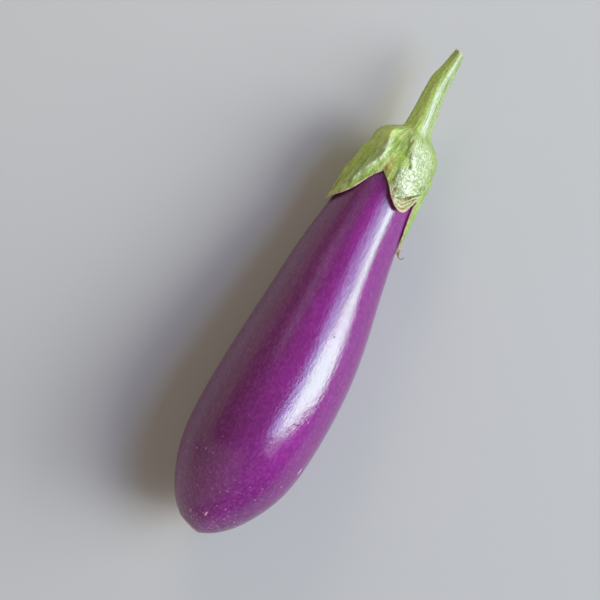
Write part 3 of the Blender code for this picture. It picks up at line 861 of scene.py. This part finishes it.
def makeCalyxMaterial():
    # Fleshy green sepals and stem: dull and finely wrinkled, cream and a little pink at the dry edges
    material, tree, shader = newMaterial("fleshyGreenCalyx")
    read = {}
    for key in ("edgeAway", "relief", "wrinkle", "crease", "rollHighlights", "bulge", "hollow", "cutFace", "onStem"):
        read[key] = addNode(tree, "Attribute", {"attribute_name": key}).outputs["Fac"]
    drum = addNode(tree, "Attribute", {"attribute_name": "drum"}).outputs["Vector"]
    flow = addNode(tree, "Attribute", {"attribute_name": "flow"}).outputs["Vector"]
    onPiece = addNode(tree, "TexCoord", {}).outputs["Object"]
    drumParts = addNode(tree, "SeparateXYZ", {}, {"Vector": drum}).outputs
    side, station = drumParts["X"], drumParts["Y"]
    surfaces = {"drum": (drum, 1.0), "flow": (flow, 1.0), "piece": (onPiece, 1 / millimetre)}
    field = layPatterns(tree, green["patterns"], surfaces)

    # shares that hold other layers back or lift them: what they follow, from, to, share at each
    held = {}
    for key, value, start, end, atStart, atEnd in (
        ("stemSide", side, 2, -6, 0, 1),
        ("offBulge", read["bulge"], 0, 1, 1, 0.25),
        ("offHollow", read["hollow"], 0, 1, 1, 0.3),
        ("netted", read["bulge"], 0, 1, 0.3, 1),
        ("raised", read["relief"], 0.3, 2.2, 0, 0.3),
        ("patchy", field["veins"], 0.42, 0.56, 0, 1),
        ("blotched", field["stains"], 0.5, 0.6, 0, 1),
        ("broken", field["stains"], 0.38, 0.56, 0.55, 1),
        ("fading", field["stains"], 0, 1, 1, -1),
        ("ragged", field["blemish"], 0.3, 0.7, -0.45, 0.45),
    ):
        spread = {"From Min": start, "From Max": end, "To Min": atStart, "To Max": atEnd}
        held[key] = addNode(tree, "MapRange", spread, {"Value": value}).outputs[0]
    bulging = {"operation": "MULTIPLY_ADD", 1: green["bulgePale"]}
    paled = addNode(tree, "Math", bulging, {0: read["bulge"], 2: held["raised"]})

    # distance from the stem's painted highlight line, and from the middle value that the net's lines follow
    apart = {}
    for key, value, middle in (("glintLine", side, green["glintLineSide"]), ("net", field["net"], 0.5)):
        off = addNode(tree, "Math", {"operation": "SUBTRACT", 1: middle}, {0: value})
        apart[key] = addNode(tree, "Math", {"operation": "ABSOLUTE"}, {0: off.outputs[0]}).outputs[0]
    line = {"From Min": green["netLine"], "From Max": 0.0}
    lines = addNode(tree, "MapRange", line, {"Value": apart["net"]})
    both = {0: lines.outputs[0], 1: held["netted"]}
    net = addNode(tree, "Math", {"operation": "MULTIPLY"}, both).outputs[0]

    colour = layColours(tree, green, "leaf", [
        ("shade", field["mottle"], 0.36, 0.64, 1.0),
        ("stem", read["onStem"], 0, 1, 1.0),
        # painted light: the -X flank, which faces away from the lamps, is painted a lighter yellow-green
        ("flank", side, -12, -18, 0.8),
        # the stem: painted light on its dim left, browner there towards the cut, and on the right painted
        # paler with a painted highlight line
        ("stemLeftPaintedLight", side, 2, -6, 1.0, read["onStem"]),
        ("brown", station, 258, 276, 0.3, held["stemSide"]),
        ("pale", side, 1, 7, 0.6, read["onStem"]),
        ("glint", apart["glintLine"], 6.0, 1.5, 0.6, read["onStem"]),
        # painted light on raised flesh and wrinkle crests, painted shade in furrows, creases and wrinkle
        # dips; the bulge is paler, partly its own colour and partly painted light
        ("pale", paled.outputs[0], 0, 1, 1.0),
        # painted shade: the +X flank, which the lamps light strongly, is painted darker
        ("rightFlankPaintedShade", side, 9, 15, 0.72),
        ("hollow", read["hollow"], 0, 1, 0.7),
        ("shade", read["relief"], -0.05, -0.9, 0.45),
        ("furrow", read["wrinkle"], -0.05, -0.4, 0.25, held["offBulge"]),
        ("pale", read["wrinkle"], 0.03, 0.16, 0.35),
        # a net of thin sunk creases whose lines are painted darker, plainest on the bulge, and veins that
        # run with the sepals
        ("thread", net, 0, 1, 0.9),
        ("furrow", field["veins"], 0.48, 0.36, 0.6, held["offBulge"]),
        ("pale", field["veins"], 0.54, 0.66, 0.55, held["offHollow"]),
        # painted highlight along the crest of the left sepal's ridge, broken into patches
        ("glint", read["relief"], 2.0, 2.6, 0.7, held["patchy"]),
        # fine light and dark flecks, blemishes, and blotches near the edges
        ("shade", field["flecks"], 0.52, 0.66, 0.45, held["offBulge"]),
        ("pale", field["flecks"], 0.48, 0.34, 0.34),
        ("speck", field["blemish"], 0.65, 0.71, 0.5),
        ("speck", read["edgeAway"], 9.0, 1.5, 0.6, held["blotched"]),
    ])
    for *stain, stainColour in green["stains"]:
        reach = reachFrom(tree, drum, stain, calyx["drumRadius"])
        uneven = addNode(tree, "Math", {"operation": "ADD"}, {0: reach, 1: held["fading"]})
        colour = layColours(tree, green, colour, [(stainColour, uneven.outputs[0], 1.1, 0.2, 0.65)])
    # painted highlight in pale cream on the pleats' rolled backs, and dark brown in their creases
    colour = layColours(tree, green, colour, [
        ("rollHighlights", read["rollHighlights"], 0, 1, 1.0),
        ("brown", read["crease"], 0, 1, 1.0, held["broken"]),
    ])

    # dry cream edge of uneven width, and the cut face
    uneven = addNode(tree, "Math", {"operation": "ADD"}, {0: read["edgeAway"], 1: held["ragged"]})
    rim = {"From Min": 0.8, "From Max": 0.25, "To Max": 0.85}
    margin = addNode(tree, "MapRange", rim, {"Value": uneven.outputs[0]})
    dry = layColours(tree, green, "cream", [("brown", field["blemish"], 0.5, 0.62, 1.0)])
    edged = addNode(tree, "MixRGB", {}, {"Fac": margin.outputs[0], "Color1": colour, "Color2": dry})
    colour = layColours(tree, green, edged.outputs["Color"], [("cut", read["cutFace"], 0, 1, 1.0)])
    tree.links.new(colour, shader.inputs["Base Color"])

    smooth, dull = green["roughness"]
    rough = addNode(tree, "MapRange", {"To Min": smooth, "To Max": dull}, {"Value": field["flecks"]})
    gloss = {"operation": "MULTIPLY_ADD", 1: -green["stemGloss"]}
    rough = addNode(tree, "Math", gloss, {0: read["onStem"], 2: rough.outputs[0]})
    tree.links.new(rough.outputs[0], shader.inputs["Roughness"])
    under = {}
    for height, strength, heightM, sunk in (
        (net, 1.0, green["netDepthM"], True),
        (field["veins"], 0.9, green["veinHeightM"], False),
        (field["flecks"], 0.9, green["fleckHeightM"], False),
    ):
        shape = {"Strength": strength, "Distance": heightM, "invert": sunk}
        bump = addNode(tree, "Bump", shape, {"Height": height, **under})
        under = {"Normal": bump.outputs["Normal"]}
    tree.links.new(bump.outputs["Normal"], shader.inputs["Normal"])
    shader.inputs["IOR"].default_value = 1.42
    shader.inputs["Specular IOR Level"].default_value = 0.7
    return material


hairs = {
    "count": 3000,
    "length": (0.35, 0.95),
    "baseRadius": 0.11,
    "lean": (0.1, 0.7),
    "seed": 11,
    "colour": "#D6DDB0",
    "brown": "#7C5A38",
    "brownShare": 0.6,
}


def makeHairs(roots, outward, material):
    # short stiff hairs, each a bent three-sided spike rooted in the flesh
    rng = np.random.default_rng(hairs["seed"])
    chosen = rng.choice(len(roots), hairs["count"], replace=False)
    root, up = roots[chosen], outward[chosen]
    side = np.cross(up, rng.normal(size=up.shape))
    side /= np.linalg.norm(side, axis=1, keepdims=True)
    other = np.cross(up, side)
    length = rng.uniform(*hairs["length"], (len(root), 1))
    lean = side * rng.uniform(*hairs["lean"], (len(root), 1))
    foot, knee, tip = [], [], root + length * (0.9 * up + 0.8 * lean)
    for turn in np.radians((0, 120, 240)):
        spread = (side * math.cos(turn) + other * math.sin(turn)) * hairs["baseRadius"]
        foot.append(root - 0.1 * up + spread)
        knee.append(root + length * (0.55 * up + 0.25 * lean) + 0.6 * spread)
    points = np.stack([*foot, *knee, tip], axis=1)
    tone = np.repeat(rng.random(len(root)) < hairs["brownShare"], 7)
    faces = []
    for first in range(0, 7 * len(root), 7):
        for a, b in ((0, 1), (1, 2), (2, 0)):
            faces.append((first + a, first + b, first + 3 + b, first + 3 + a))
            faces.append((first + 3 + a, first + 3 + b, first + 6))
        faces.append((first + 2, first + 1, first))
    return makePiece("calyxHairs", points.reshape(-1, 3), faces, material, {"tone": tone})


def makeHairMaterial():
    # Fine plant hair: pale and dull with dried brown ones among it, it roughens the edges of the green
    material, tree, shader = newMaterial("paleCalyxHair")
    tone = addNode(tree, "Attribute", {"attribute_name": "tone"}).outputs["Fac"]
    colour = layColours(tree, hairs, "colour", [("brown", tone, 0, 1, 1.0)])
    tree.links.new(colour, shader.inputs["Base Color"])
    shader.inputs["Roughness"].default_value = 0.7
    return material


wisp = {
    # its line as (across, station, up from the surface), radius at each end
    "line": [(20.0, 172.6, 28.7), (20.5, 170.2, 28.5), (21.6, 168.7, 28.6), (23.1, 168.8, 29.2),
             (23.8, 169.9, 29.8)],
    "radii": (0.85, 0.3),
    "flat": 0.45,
    "twist": 140,
    "crumpled": (0.06, 0.5),  # height and size
    "rows": 48,
    "sides": 12,
    "colour": "#C6B070",
    "dark": "#8E6F45",
    "patches": {"patches": ("piece", 1.4286, 1.4286, 0, 2.0, 0.5, 0.0)},
}


def makeWisp(material):
    # the withered point of the right-hand sepal, a thin ribbon that has dried into a curl
    rows, sides = wisp["rows"], wisp["sides"]
    line = np.array(wisp["line"]) - [0, axis["restStation"], 0]
    run = runOf(line)
    where = np.linspace(0, run[-1], rows)
    middle = np.stack([smoothCurve(list(zip(run, column)))(where) for column in line.T], axis=1)
    along = np.gradient(middle, axis=0)
    along /= np.linalg.norm(along, axis=1, keepdims=True)
    twist = np.radians(np.linspace(0, wisp["twist"], rows))[:, None]
    side = np.cross(along, [0.0, 0.0, 1.0])
    side /= np.linalg.norm(side, axis=1, keepdims=True)
    other = np.cross(along, side)
    wide = side * np.cos(twist) + other * np.sin(twist)
    thin = other * np.cos(twist) - side * np.sin(twist)
    radius = np.linspace(*wisp["radii"], rows)[:, None]
    rings = []
    for turn in np.radians(np.arange(sides) * 360 / sides):
        rings.append(middle + radius * (wide * math.cos(turn) + wisp["flat"] * thin * math.sin(turn)))
    rings = np.stack(rings, axis=1)
    height, size = wisp["crumpled"]
    rings = rings + height * unevenness(rings, (size, size), 12)[..., None]
    faces = gridFaces(rows, sides)
    faces.append(tuple(reversed(range(sides))))
    faces.append(tuple(range((rows - 1) * sides, rows * sides)))
    return makePiece("driedWisp", rings.reshape(-1, 3), faces, material)


def makeWispMaterial():
    # Withered leaf tip: dry straw brown, matt
    material, tree, shader = newMaterial("driedSepalTip")
    onPiece = addNode(tree, "TexCoord", {}).outputs["Object"]
    field = layPatterns(tree, wisp["patches"], {"piece": (onPiece, 1 / millimetre)})
    colour = layColours(tree, wisp, "colour", [("dark", field["patches"], 0, 1, 1.0)])
    tree.links.new(colour, shader.inputs["Base Color"])
    shader.inputs["Roughness"].default_value = 0.8
    return material


calyxPiece, hairRoots, hairOutward = makeCalyx(makeCalyxMaterial())
hairPiece = makeHairs(hairRoots, hairOutward, makeHairMaterial())
wispPiece = makeWisp(makeWispMaterial())
for extra in (hairPiece, wispPiece):
    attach(extra, "root")
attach(calyxPiece, "root")
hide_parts("calyx_and_stem")
print("calyx and stem made:", len(calyxPiece.data.polygons), "faces")


studio = {
    "floor": "#BCB9B3",
    "floorSizeM": 16.0,
    "worldColour": "#F2E9DC",
    "worldStrength": 0.21,
    # name, colour, power, size along the fruit and up, elevation, turn, distance, place along; lengths
    # in metres; elevation runs from the +X horizon, over the top, to the -X horizon at 180, and turn
    # swings the light towards the stem end
    "softboxes": [
        ("windowLight", "#EFF9FF", 124.0, (1.46, 2.52), 33, 0, 3.6, 0.93),
        ("windowMiddlePane", "#EFF9FF", 11.6, (0.26, 2.10), 32, 0, 3.6, 1.79),
        ("windowNearPane", "#EFF9FF", 16.5, (0.32, 1.56), 41, 0, 3.6, 0.04),
        ("windowCorner", "#EFF9FF", 3.8, (0.15, 0.80), 47, 0, 3.6, -0.195),
        ("windowGlint", "#EFF9FF", 1.6, (0.15, 0.36), 47, 0, 3.6, -0.56),
        ("windowFarPane", "#EFF9FF", 54.0, (1.56, 1.20), 31, 0, 3.6, 2.70),
        ("skyFringe", "#A8C2FF", 62.0, (3.80, 0.96), 60, 0, 3.6, 1.60),
        ("farCard", "#FFE6D2", 0.36, (1.0, 0.30), 171, 0, 1.0, 0.15),
        ("slotLight", "#F0EAFA", 0.3, (0.70, 0.16), 131, 0, 1.0, 0.60),
        ("nearCard", "#FFF0EA", 0.9, (0.9, 1.5), 126, -50, 1.0, 0.15),
        ("doorLight", "#FFF3E0", 2.4, (0.4, 0.4), 135, 42, 1.0, 0.15),
    ],
    "cameraHeightM": 1.032,
    "cameraShiftM": (-0.0114, -0.0106),
    "cameraTurn": 28.4,
    "lens": 120,
    "sensorWidth": 36,
}
middleM = (cadLow + cadHigh) / 2


def makeFloor():
    # Matt pale paper: it takes soft shadows and barely any shine
    material, tree, shader = newMaterial("palePaper")
    shader.inputs["Base Color"].default_value = linear(studio["floor"])
    shader.inputs["Roughness"].default_value = 0.85
    shader.inputs["Specular IOR Level"].default_value = 0.15
    half = studio["floorSizeM"] / 2
    corners = [(x * half, y * half, cadLow[2]) for x, y in ((-1, -1), (1, -1), (1, 1), (-1, 1))]
    mesh = bpy.data.meshes.new("paperFloor")
    mesh.from_pydata(corners, [], [(0, 1, 2, 3)])
    mesh.materials.append(material)
    floor = bpy.data.objects.new("paperFloor", mesh)
    bpy.context.scene.collection.objects.link(floor)
    return floor


def addSoftbox(name, colour, power, sizeM, elevation, turn, distanceM, alongM):
    data = bpy.data.lights.new(name, "AREA")
    data.shape = "RECTANGLE"
    data.size, data.size_y = sizeM
    data.energy = power
    data.color = linear(colour)[:3]
    lamp = bpy.data.objects.new(name, data)
    rise = math.radians(elevation)
    swing = math.radians(turn)
    back = Vector((math.cos(rise) * math.cos(swing), math.sin(swing), math.sin(rise) * math.cos(swing)))
    side = Vector((-math.cos(rise) * math.sin(swing), math.cos(swing), -math.sin(rise) * math.sin(swing)))
    lamp.location = Vector((middleM.x, alongM, middleM.z)) + back * distanceM
    lamp.rotation_mode = "QUATERNION"
    lamp.rotation_quaternion = Matrix((side, back.cross(side), back)).transposed().to_quaternion()
    bpy.context.scene.collection.objects.link(lamp)


floor = makeFloor()

world = bpy.data.worlds.new("softRoom")
bpy.context.scene.world = world
world.use_nodes = True
background = world.node_tree.nodes["Background"]
background.inputs["Color"].default_value = linear(studio["worldColour"])
background.inputs["Strength"].default_value = studio["worldStrength"]

for softbox in studio["softboxes"]:
    addSoftbox(*softbox)

cameraData = bpy.data.cameras.new("overhead")
cameraData.lens = studio["lens"]
cameraData.sensor_width = studio["sensorWidth"]
camera = bpy.data.objects.new("overhead", cameraData)
shiftX, shiftY = studio["cameraShiftM"]
camera.location = (middleM.x + shiftX, middleM.y + shiftY, studio["cameraHeightM"])
camera.rotation_euler = (0, 0, math.radians(studio["cameraTurn"]))
bpy.context.scene.collection.objects.link(camera)
bpy.context.scene.camera = camera
bpy.context.scene.view_settings.view_transform = "Standard"
print("floor, light and camera set")
